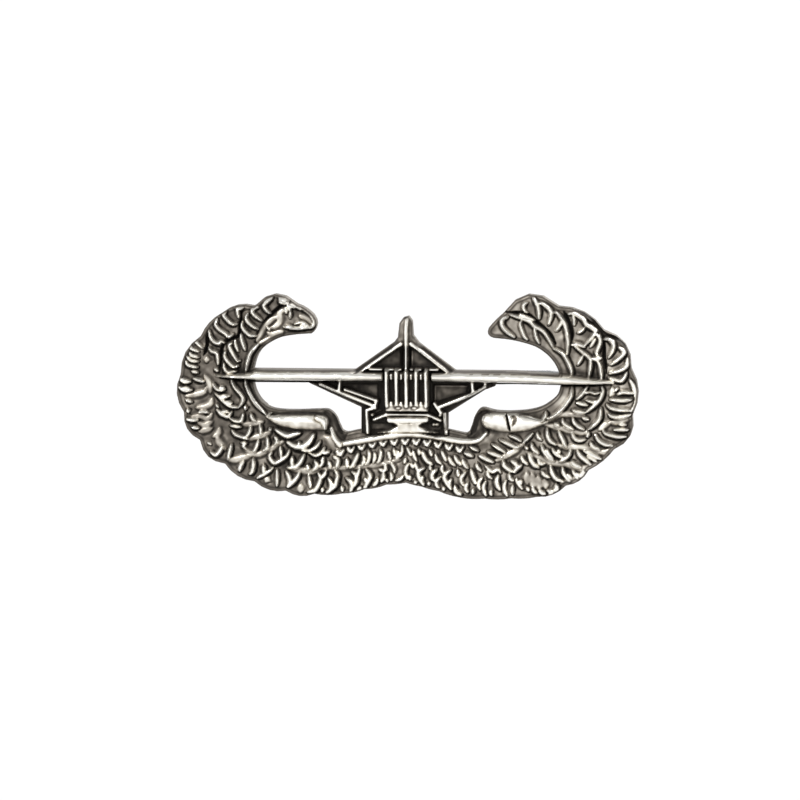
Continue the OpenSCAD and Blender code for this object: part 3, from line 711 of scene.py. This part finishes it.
def draw_struts():
    """Each strut as its half width and its points, and four small studs."""
    struts = [
        # the roof
        (0.065, [(-0.3, 1.57), (-2.25, 0.22)]),
        (0.065, [(0.15, 1.57), (1.97, 0.17)]),
        # the left side under the bar
        (0.075, [(-4.0, -0.3), (-3.15, -0.66), (-1.6, -1.25)]),
        (0.06, [(-2.87, -0.53), (-1.42, -1.03)]),
        (0.06, [(-3.1, -0.15), (-3.15, -0.62)]),
        (0.06, [(-1.42, -1.03), (-1.5, -1.33)]),
        # the right side under the bar
        (0.07, [(3.5, -0.4), (3.1, -0.64), (1.45, -1.3)]),
        (0.07, [(1.22, -1.15), (1.5, -1.55)]),
        (0.07, [(2.93, -0.15), (2.99, -0.66)]),
        (0.06, [(3.55, -0.15), (3.5, -0.45)]),
        # the wheel legs and the line below the sill
        (0.065, [(-1.5, -1.35), (-1.88, -1.47), (-1.83, -2.48)]),
        (0.065, [(1.68, -1.62), (1.75, -2.5)]),
        (0.06, [(-0.98, -1.65), (0.9, -1.65), (1.48, -1.91)]),
        (0.055, [(-1.0, -1.68), (-1.55, -1.9)]),
    ]
    for half, line in struts:
        relief.bar(seen(line, STRUT), half, STRUT)
    for x, z in ((-1.63, -1.68), (1.46, -1.68), (1.18, -2.1), (1.33, -2.1)):
        relief.bar(seen([(x, z), (x + 0.02, z)], STRUT), 0.05, STRUT)


def draw_fin():
    """The upright fin, with a sharp ridge down its middle between two grooves."""
    middle, crest = -0.08, 1.25
    relief.fill([(-0.62, 1.5), (-0.3, 1.95), (-0.25, 2.6), (-0.1, 2.85), (0.14, 2.9), (0.3, 2.65),
                 (0.35, 1.95), (0.72, 1.5)], 1.0, 0.5, soft=0.16, bordered=0.4)
    for side in (-1, 1):
        groove = [(middle + side * 0.14, 1.7), (middle + side * 0.15, 0.35)]
        relief.cut(seen(groove), 0.08, 0.1, 0.7)
    ridge = [(0.1, 2.78), (-0.04, 2.7), (middle, 2.3), (middle, 0.3)]
    relief.bar(seen(ridge, crest), 0.05, crest, dark=0.6)


def draw_bar():
    """The wing bar: a bright crest, a plain upper flank and a black line below as painted shade under
    the bar.
    """
    x, left_tip, right_tip = grid.X, -8.75, 9.5
    # Height of its lower edge, crest and upper edge on the front view, from tip to tip
    places = [left_tip, -7.1, -6.8, -2.6, -2.2, 1.9, 2.3, 5, 7, right_tip]
    low = np.interp(x, places, [0.1, -0.02, -0.1, -0.1, -0.08, -0.08, -0.1, -0.14, -0.18, -0.12])
    centre = np.interp(x, places, [0.14, 0.17, 0.2, 0.22, 0.23, 0.22, 0.2, 0.18, 0.1, -0.02])
    high = np.interp(x, places, [0.18, 0.34, 0.55, 0.55, 0.4, 0.38, 0.5, 0.5, 0.42, 0.06])
    up = (grid.Z - centre) / np.maximum(high - centre, 0.02)
    down = (centre - grid.Z) / np.maximum(centre - low, 0.02)
    across = np.where(grid.Z > centre, up, down)
    body = GROUND + (CREST - GROUND) * np.sqrt(np.clip(1 - np.clip(across, 0, 1) ** 1.6, 0, 1))
    tips = smoothstep(np.minimum(x - left_tip, right_tip - x) / 0.9)
    body = GROUND + (body - GROUND) * (0.35 + 0.65 * tips)
    # tone across the bar: black at the lower edge as painted shade under it, bright on the crest,
    # plainer above
    wear_and_light = np.interp(np.where(grid.Z > centre, across, -across),
                     [-1, -0.8, -0.55, 0.35, 0.5, 0.85, 1], [0.02, 0.25, 1, 1, 0.62, 0.5, 0.25])
    fuselage = (x > -1.02) & (x < 1.2)
    here = smoothstep((1 - across) * 3) * ((x > left_tip) & (x < right_tip) & ~fuselage)
    # black grooves just under the bar, painted as its shade
    for line in ([(-8.6, -0.02), (-7, -0.13), (-3.2, -0.16)],
                 [(3.7, -0.16), (7, -0.22), (9.3, -0.2)]):
        relief.cut(seen(line, 0.8), 0.1, 0.3)
    relief.settle((slice(None), slice(None)), here, body, wear_and_light)
    # Short dashes along its upper edge
    for start, end in ((-1.72, -1.2), (-0.98, -0.68), (-0.53, -0.32), (0.15, 0.2), (0.38, 0.6),
                       (0.84, 0.88), (1.05, 1.36)):
        relief.bar(seen([(start, 0.41), (end, 0.4)], STRUT), 0.055, STRUT + 0.1)


def draw_fuselage():
    """A block with upright ribs, a plain sill below them with two rivets, and the nose."""
    left, right, foot, sill, rivets = -1.02, 0.92, -1.52, -1.2, -1.36
    nose = [(-0.98, -1.76), (0.95, -1.74), (0.9, -1.95), (0.55, -2.16), (0.9, -2.36), (1.4, -2.5),
            (0, -2.5), (-1.4, -2.52), (-0.85, -2.36), (-0.5, -2.16), (-0.92, -1.95)]
    relief.fill(seen(nose, 1.1), 1.14, 0.76, soft=0.16)
    relief.roll(seen([(-0.85, -1.93), (0.85, -1.9)], 1.2), [0.12, 0.16, 0.12], 1.05, 1.2,
                [0.75, 1, 1, 0.8])
    block = [(left, foot), (right, foot), (right, 0.26), (left, 0.26)]
    relief.fill(seen(block, FUSELAGE), 1.25, 0.16, soft=0.04)
    plate = [(left, foot), (right, foot), (right - 0.04, sill), (left, sill)]
    relief.fill(seen(plate, FUSELAGE), FUSELAGE, 0.64, soft=0.06, rim=0.2)
    first, pitch, count = -0.98, 0.453, 5
    for i in range(count):
        x = first + pitch * i
        relief.bar(seen([(x, 0.26), (x + 0.02, sill - 0.05)], FUSELAGE), 0.07, FUSELAGE + 0.12)
        if i < count - 1:
            middle = x + pitch / 2
            relief.bar(seen([(middle, 0.14), (middle, -0.02)], FUSELAGE), 0.05, FUSELAGE)
            relief.bar(seen([(middle, -1.12), (middle, sill)], FUSELAGE), 0.06, FUSELAGE, dark=0)
    turn = np.linspace(0, math.tau, 12, endpoint=False)
    for x in (-0.43, 0.3):
        ring = np.stack([x + 0.19 * np.cos(turn), rivets + 0.11 * np.sin(turn)], 1)
        relief.fill(seen(ring, FUSELAGE), FUSELAGE - 0.06, 0.12, soft=0.05)
        relief.bar(seen([(x - 0.05, rivets), (x + 0.05, rivets)], FUSELAGE), 0.035, FUSELAGE,
                   light=0.75, dark=0)


for draw_part in (draw_feathers, draw_teeth, draw_arms, draw_panels, draw_fin, draw_struts,
                  draw_bar, draw_fuselage):
    draw_part()


def blur(field, sigma):
    """Gaussian blur of a field on the grid."""
    reach = int(3 * sigma / STEP)
    weights = np.exp(-0.5 * (np.arange(-reach, reach + 1) * STEP / sigma) ** 2)
    weights /= weights.sum()
    for axis in (0, 1):
        margin = [(reach, reach) if a == axis else (0, 0) for a in (0, 1)]
        padded = np.pad(field, margin, mode="edge")
        shifted = [np.take(padded, range(k, k + field.shape[axis]), axis=axis)
                   for k in range(len(weights))]
        field = sum(w * part for w, part in zip(weights, shifted))
    return field


EDGE_ROUND = 0.12       # rounding of the casting's front edge
RIDGE_END = 0.24        # ridges sink to nothing over this distance from the edge
EDGE_WEAR = 0.32
WALL_WEAR = 0.45
BACK_WEAR = 0.45


def rounded_edge(top):
    """The relief with its front edge rounded over."""
    away = np.clip(1 - edge / EDGE_ROUND, 0, 1)
    return top - EDGE_ROUND * (1 - np.sqrt(1 - away ** 2))


def edge_grey_and_dark_line(polish):
    """Plain grey on the rounded edge, and a dark line just inside it that spares bright metal."""
    line_place, line_half, line_dark, bright = 0.15, 0.045, 0.6, 0.9
    on_edge = 1 - smoothstep((edge - 0.04) / 0.07)
    line = line_dark * relief.bordered * np.exp(-((edge - line_place) / line_half) ** 2)
    polish = polish * (1 - line * (polish < bright))
    return polish * (1 - on_edge) + EDGE_WEAR * (1 - relief.dark) * on_edge


def mottle(size):
    """Smooth random patches of about the given size, with a spread of 1."""
    field = blur(chance.normal(size=grid.X.shape), size)
    return field / field.std()


relief.ridges *= smoothstep(edge / RIDGE_END)
top = blur(relief.top(), 0.018)
# The metal is darker in hollows, brighter on high places and a little patchy all over
hollows = np.clip((blur(top, 0.2) - top) / 0.5, -0.2, 0.3)
patches = 0.05 * mottle(0.07) + 0.05 * mottle(0.2)
height = rounded_edge(top + 0.008 * mottle(0.1))
polish = np.clip(edge_grey_and_dark_line(blur(relief.polish(), 0.018) - hollows + patches), 0, 1)


# ---------------------------------------------------------------- turning it into a mesh

BACK_STEP = 4           # the back's points are this many grid steps apart


def cell_corners(solid):
    """Which of the four corners of each of the grid's cells are solid."""
    return np.array([solid[:-1, :-1], solid[:-1, 1:], solid[1:, 1:], solid[1:, :-1]])


def cut_cells(solid, ids):
    """Polygons of the grid's cells that the outline crosses, and what they share with it.

    Also gives the outline's own edges, as pairs of point numbers, and for each of its points
    the two ends of the grid line it lies on and how far along it.
    """
    first = int(solid.sum())
    found, places, polygons, rim_edges = {}, [], [], []

    def crossing(a, b):
        key = (a, b) if a < b else (b, a)
        if key not in found:
            found[key] = first + len(places)
            places.append((*a, *b, edge[a] / (edge[a] - edge[b])))
        return found[key]

    corners = cell_corners(solid)
    for j, i in zip(*np.nonzero(corners.any(0) & ~corners.all(0))):
        around = [(j, i), (j, i + 1), (j + 1, i + 1), (j + 1, i)]
        polygon, leaving = [], []
        for a, b in zip(around, around[1:] + around[:1]):
            if solid[a]:
                polygon.append(int(ids[a]))
            if solid[a] != solid[b]:
                if solid[a]:
                    leaving.append(len(polygon))
                polygon.append(crossing(a, b))
        polygons.append(polygon)
        rim_edges += [(polygon[k], polygon[(k + 1) % len(polygon)]) for k in leaving]
    return polygons, rim_edges, np.array(places)


def nearest(x, z):
    """The grid point nearest to a place."""
    return int((z - grid.z[0]) / STEP + 0.5), int((x - grid.x[0]) / STEP + 0.5)


def back_points():
    """Points of the back away from the rim: a coarse grid, and both sides of each step."""
    rows, cols = edge.shape
    j, i = np.mgrid[0:rows:BACK_STEP, 0:cols:BACK_STEP]
    steps = glider_border + pad_border
    clear = grid.segments_distance(steps, EDGE_REACH) > STEP_ROUND
    deep = clear[j, i] & (edge[j, i] > 0.8 * BACK_STEP * STEP)
    points = np.stack([grid.X[j, i][deep], grid.Z[j, i][deep]], 1).tolist()
    for a, b in steps:
        beside = np.array([b[1] - a[1], a[0] - b[0]]) * STEP_ROUND / np.linalg.norm(b - a)
        for side in (-0.5, 0.5):
            x, z = (a + b) / 2 + side * beside
            if edge[nearest(x, z)] > STEP_ROUND:
                points.append([x, z])
    return np.array(points)


def relief_mesh():
    """Closed mesh of the casting: carved front, upright wall and stepped back."""
    solid = edge > 0
    ids = -np.ones(solid.shape, int)
    ids[solid] = np.arange(solid.sum())
    j, i = np.nonzero(cell_corners(solid).all(0))
    faces = np.stack([ids[j, i], ids[j, i + 1], ids[j + 1, i + 1], ids[j + 1, i]], 1).tolist()
    polygons, rim_edges, places = cut_cells(solid, ids)
    faces += polygons

    # The rim in front and behind: the wall runs from one to the other
    a, b = tuple(places[:, :2].T.astype(int)), tuple(places[:, 2:4].T.astype(int))
    share = places[:, 4]
    rim_x, rim_z, rim_top = (field[a] * (1 - share) + field[b] * share
                             for field in (grid.X, grid.Z, height))
    inner = np.where(solid[a], a, b)
    rim_back = back_level(grid.X[tuple(inner)], grid.Z[tuple(inner)])
    behind = back_points()
    behind_back = back_level(behind[:, 0], behind[:, 1])
    front = np.stack([grid.X[solid], -height[solid], grid.Z[solid]], 1)
    rim_front = np.stack([rim_x, -rim_top, rim_z], 1)
    rim_behind = np.stack([rim_x, rim_back, rim_z], 1)
    middle = np.stack([behind[:, 0], behind_back, behind[:, 1]], 1)
    count = len(rim_x)
    faces += [[q, p, p + count, q + count] for p, q in rim_edges]

    # The back's triangles, kept where they lie on the solid side of the rim
    start = len(front) + count
    flat = [Vector((x, z)) for x, _, z in np.vstack([rim_behind, middle])]
    cuts = [(p - len(front), q - len(front)) for p, q in rim_edges]
    flat, _, triangles, sources, _, _ = geometry.delaunay_2d_cdt(flat, cuts, [], 2, 1e-7, True)
    kept_side = {cut: True for cut in cuts}
    kept_side.update({(q, p): False for p, q in cuts})
    for triangle in triangles:
        corners = [sources[v][0] for v in triangle]
        sides = [kept_side.get(pair) for pair in zip(corners, corners[1:] + corners[:1])]
        centre = sum((flat[v] for v in triangle), Vector((0, 0))) / 3
        if True in sides or (False not in sides and edge[nearest(*centre)] > 0):
            faces.append([start + v for v in corners[::-1]])

    points = np.vstack([front, rim_front, rim_behind, middle])
    wear_and_light_per_point = [polish[solid], np.full(2 * count, WALL_WEAR), np.full(len(middle), BACK_WEAR)]
    return points * MM, faces, np.concatenate(wear_and_light_per_point)


# Edges are shaded as edges where they are sharper than SHARP. On a CAD part's copy, edges
# flatter than FLAT are taken out and those sharper than CORNER are rounded.
SHARP, FLAT, CORNER = math.radians(48), math.radians(1.5), math.radians(35)


def add_mesh(name, points, faces, body, replaced=()):
    """Makes a piece of the model from points in metres, and fixes it to a body."""
    mesh = bpy.data.meshes.new(name)
    mesh.from_pydata([tuple(p) for p in points], [], faces)
    mesh.validate()
    mesh.shade_smooth()
    mesh.set_sharp_from_angle(angle=SHARP)
    piece = bpy.data.objects.new(name, mesh)
    bpy.context.scene.collection.objects.link(piece)
    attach(piece, body)
    if replaced:
        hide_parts(*replaced)
    return piece


points, faces, wear_and_light_per_point = relief_mesh()
badge = add_mesh("badge_relief", points, faces, "badge", ["badge_casting"])
# the relief's tones, wear with painted highlights and painted shade, kept on the mesh for the material
wear_and_light = badge.data.attributes.new("polish", "FLOAT", "POINT")
wear_and_light.data.foreach_set("value", wear_and_light_per_point.astype(np.float32))


# ---------------------------------------------------------------- the pin fittings

def rounded_copy(node, body, width):
    """The CAD part with its edges rounded, as a piece of the same shape otherwise."""
    bm = bmesh.new()
    bm.from_mesh(nodes[node].data)
    bmesh.ops.remove_doubles(bm, verts=bm.verts, dist=0.001 * MM)
    bmesh.ops.dissolve_limit(bm, angle_limit=FLAT, verts=bm.verts, edges=bm.edges)
    corners = [e for e in bm.edges if e.is_manifold and e.calc_face_angle(0) > CORNER]
    bmesh.ops.bevel(bm, geom=corners, offset=width * MM, segments=3, profile=0.5, affect="EDGES",
                    clamp_overlap=True)
    points = [tuple(v.co) for v in bm.verts]
    faces = [[v.index for v in f.verts] for f in bm.faces]
    bm.free()
    add_mesh(node + "_finish", points, faces, body, [node])


def ring_faces(rings, around, flip=False):
    """Faces of a closed solid from rings of points, each with the same number of them around."""
    faces = []
    for ring in range(rings - 1):
        for k in range(around):
            a, b = ring * around + k, ring * around + (k + 1) % around
            quad = [a, b, b + around, a + around]
            faces.append([a] + quad[:0:-1] if flip else quad)
    ends = [list(range(around))[::-1], [(rings - 1) * around + k for k in range(around)]]
    return faces + [end[::-1] if flip else end for end in ends]


def dome(radius, thick, start, steps=6):
    """A domed rivet head as (radius, height) steps, from its rim to its top."""
    rows = [(radius * 0.97, start)]
    for turn in 0.5 * math.pi * np.arange(steps) / (steps - 0.5):
        rows.append((radius * math.cos(turn) ** 0.6,
                     start + thick * (0.25 + 0.75 * math.sin(turn))))
    return rows


def make_rivet():
    """The hinge's rivet, turned about its upright axis, with two domed heads."""
    low, high = (np.array(c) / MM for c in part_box("hinge_rivet"))
    thick, shank, around = 0.12, 0.22, 40
    reach = (high[2] - low[2]) / 2 - thick
    upper = dome((high[0] - low[0]) / 2, thick, reach)
    lower = [(radius, -height) for radius, height in reversed(upper)]
    profile = lower + [(shank, -reach), (shank, reach)] + upper
    turns = [math.tau * k / around for k in range(around)]
    points = [(low + high) / 2 + (radius * math.cos(turn), radius * math.sin(turn), height)
              for radius, height in profile for turn in turns]
    add_mesh("hinge_rivet_domed", np.array(points) * MM, ring_faces(len(profile), around),
             "badge", ["hinge_rivet"])


def make_solder(node):
    """A pool of solder that creeps out from under a base plate, with a hollow slope."""
    low, high = (np.array(c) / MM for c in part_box(node))
    pool_rim, creep, wobble, corner, around = 0.12, 0.09, 0.025, 0.16, 96
    middle, reach = ((low + high) / 2)[[0, 2]], ((high - low) / 2)[[0, 2]]
    ripples = [(k, chance.uniform(0.2, 1) / k, chance.uniform(0, math.tau)) for k in (3, 5, 8, 13)]
    # From the pool's rim on the pad up the slope to the side of the plate
    pad, plate = low[1], high[1]
    steps = [(0, pad), (0, pad + 0.01), (0.35, pad + 0.02), (0.7, pad + 0.045),
             (1.0, plate + creep * 0.6), (1.12, plate + creep * 0.6), (1.2, plate)]
    points = []
    for share, level in steps:
        wide = reach - corner - share * pool_rim
        for turn in math.tau * np.arange(around) / around:
            wave = wobble * sum(size * math.sin(n * turn + phase) for n, size, phase in ripples)
            away = corner + wave * (1 - min(share, 1))
            # Rounded rectangle: a corner circle pushed out to the straight sides
            out = np.array([math.cos(turn), math.sin(turn)])
            x, z = middle + wide * np.clip(out * (1 / abs(out).max()), -1, 1) + away * out
            points.append((x, level, z))
    add_mesh(node + "_pool", np.array(points) * MM, ring_faces(len(steps), around, flip=True),
             "badge", [node])


rounded_copy("hinge_bracket", "badge", 0.05)
rounded_copy("catch_body", "badge", 0.05)
rounded_copy("pin_stem", "stem", 0.05)
rounded_copy("catch_roller", "roller", 0.04)
make_rivet()
make_solder("hinge_solder")
make_solder("catch_solder")


# ---------------------------------------------------------------- materials

class Nodes:
    """Puts together the nodes of a material or of the world, that feed one shader of it."""

    def __init__(self, owner, shader="Principled BSDF"):
        owner.use_nodes = True
        self.new, self.link = owner.node_tree.nodes.new, owner.node_tree.links.new
        self.inputs = owner.node_tree.nodes[shader].inputs

    def noise(self, scale, detail):
        """Noise in the piece's own frame."""
        node, place = self.new("ShaderNodeTexNoise"), self.new("ShaderNodeTexCoord")
        for name, value in (("Scale", scale), ("Detail", detail), ("Roughness", 0.6)):
            node.inputs[name].default_value = value
        self.link(place.outputs["Object"], node.inputs["Vector"])
        return node.outputs["Fac"]

    def maths(self, operation, first, *others):
        """What an operation makes of a node's output and of other outputs or numbers."""
        node = self.new("ShaderNodeMath")
        node.operation = operation
        self.link(first, node.inputs[0])
        for socket, value in zip(node.inputs[1:], others):
            if isinstance(value, float):
                socket.default_value = value
            else:
                self.link(value, socket)
        return node.outputs[0]

    def ramp(self, source, stops, target):
        """Feeds an input of the shader from (place, colour or grey) stops along a source."""
        node = self.new("ShaderNodeValToRGB")
        elements = node.color_ramp.elements
        while len(elements) < len(stops):
            elements.new(0.5)
        for element, (place, colour) in zip(elements, stops):
            element.position = place
            element.color = (*colour, 1) if isinstance(colour, tuple) else (*[colour] * 3, 1)
        self.link(source, node.inputs[0])
        self.link(node.outputs[0], self.inputs[target])


def antique_silver():
    """Worn bright on the ridges, oxidised to taupe on the ground and black in the grooves, with painted
    highlights and shade.
    """
    material = bpy.data.materials.new("antique_silver")
    shading = Nodes(material)
    wear_and_light = shading.new("ShaderNodeAttribute")
    wear_and_light.attribute_name = "polish"
    patchy = shading.maths("MULTIPLY_ADD", shading.noise(900, 5), 0.24, -0.12)
    wear_and_light = shading.maths("ADD", patchy, wear_and_light.outputs["Fac"])
    shading.ramp(wear_and_light, [
        (0.0, (0.032, 0.028, 0.024)), (0.2, (0.072, 0.063, 0.053)), (0.4, (0.165, 0.145, 0.122)),
        (0.62, (0.4, 0.365, 0.315)), (0.82, (0.75, 0.71, 0.63)), (0.97, (0.97, 0.95, 0.89)),
    ], "Base Color")
    shading.ramp(wear_and_light, [(0.0, 0.75), (0.4, 0.55), (0.8, 0.3)], "Roughness")
    shading.inputs["Metallic"].default_value = 0.85
    bump = shading.new("ShaderNodeBump")
    bump.inputs["Strength"].default_value = 0.25
    bump.inputs["Distance"].default_value = 0.02 * MM
    shading.link(shading.noise(6000, 3), bump.inputs["Height"])
    shading.link(bump.outputs[0], shading.inputs["Normal"])
    return material


def plain_metal(name, colour, rough):
    """A metal with slightly darker and duller patches."""
    material = bpy.data.materials.new(name)
    shading = Nodes(material)
    patches = shading.noise(700, 5)
    darker = tuple(c * 0.75 for c in colour)
    shading.ramp(patches, [(0.3, darker), (0.7, colour)], "Base Color")
    shading.ramp(patches, [(0.3, rough * 1.5), (0.7, rough)], "Roughness")
    shading.inputs["Metallic"].default_value = 1
    return material


def coat(material, *names):
    """Gives a material to the named pieces."""
    for name in names:
        bpy.data.objects[name].data.materials.append(material)


coat(antique_silver(), "badge_relief")
coat(plain_metal("solder", (0.52, 0.53, 0.54), 0.4), "hinge_solder_pool", "catch_solder_pool")
coat(plain_metal("nickel_plate", (0.78, 0.77, 0.73), 0.24),
     "hinge_bracket_finish", "catch_body_finish")
coat(plain_metal("pin_steel", (0.7, 0.71, 0.72), 0.2), "pin_stem_finish", "hinge_rivet_domed")
coat(plain_metal("roller_brass", (0.76, 0.72, 0.6), 0.26), "catch_roller_finish")


# ---------------------------------------------------------------- floor, light and camera

def stage_floor(size=6.0, drop=0.03):
    """A plain white floor under the badge."""
    bm = bmesh.new()
    bmesh.ops.create_grid(bm, x_segments=8, y_segments=8, size=size / 2)
    mesh = bpy.data.meshes.new("floor")
    bm.to_mesh(mesh)
    bm.free()
    floor = bpy.data.objects.new("floor", mesh)
    floor.location.z = -drop
    bpy.context.scene.collection.objects.link(floor)
    material = bpy.data.materials.new("floor")
    shading = Nodes(material)
    shading.inputs["Base Color"].default_value = (0.9, 0.9, 0.9, 1)
    shading.inputs["Roughness"].default_value = 0.9
    mesh.materials.append(material)


def soft_sun(name, towards, power, spread):
    """A broad light from far away, so that the floor is lit evenly."""
    data = bpy.data.lights.new(name, "SUN")
    data.energy = power
    data.angle = math.radians(spread)
    light = bpy.data.objects.new(name, data)
    light.rotation_euler = Vector(towards).to_track_quat("Z", "Y").to_euler()
    bpy.context.scene.collection.objects.link(light)


def studio_world():
    """A white room, bright at eye level and greyer overhead."""
    world = bpy.data.worlds.new("world")
    shading = Nodes(world, "Background")
    place, split = shading.new("ShaderNodeTexCoord"), shading.new("ShaderNodeSeparateXYZ")
    shading.link(place.outputs["Generated"], split.inputs[0])
    shading.ramp(split.outputs["Z"], [(0.0, 1.0), (0.25, 0.9), (0.75, 0.35)], "Color")
    shading.inputs["Strength"].default_value = 1.3
    bpy.context.scene.world = world


stage_floor()
soft_sun("key", (-0.5, -0.7, 0.75), 1.6, 25)
soft_sun("back", (0.4, 0.8, 0.6), 0.8, 40)
studio_world()
bpy.context.scene.view_settings.view_transform = "Standard"

# The camera stands a little to the right of the badge and a little above it
AZIMUTH, ELEVATION = math.radians(5), math.radians(5)
DISTANCE = 0.35
VIEW_WIDTH = 0.03653
AIM = Vector((-0.342, 0, -0.982)) * MM
data = bpy.data.cameras.new("camera")
data.sensor_width = 36
data.lens = data.sensor_width * DISTANCE / VIEW_WIDTH
data.clip_start = 0.01
data.clip_end = 20
camera = bpy.data.objects.new("camera", data)
away = Vector((math.sin(AZIMUTH) * math.cos(ELEVATION), -math.cos(AZIMUTH) * math.cos(ELEVATION),
               math.sin(ELEVATION)))
camera.location = AIM + DISTANCE * away
camera.rotation_euler = (-away).to_track_quat("-Z", "Y").to_euler()
bpy.context.scene.collection.objects.link(camera)
bpy.context.scene.camera = camera
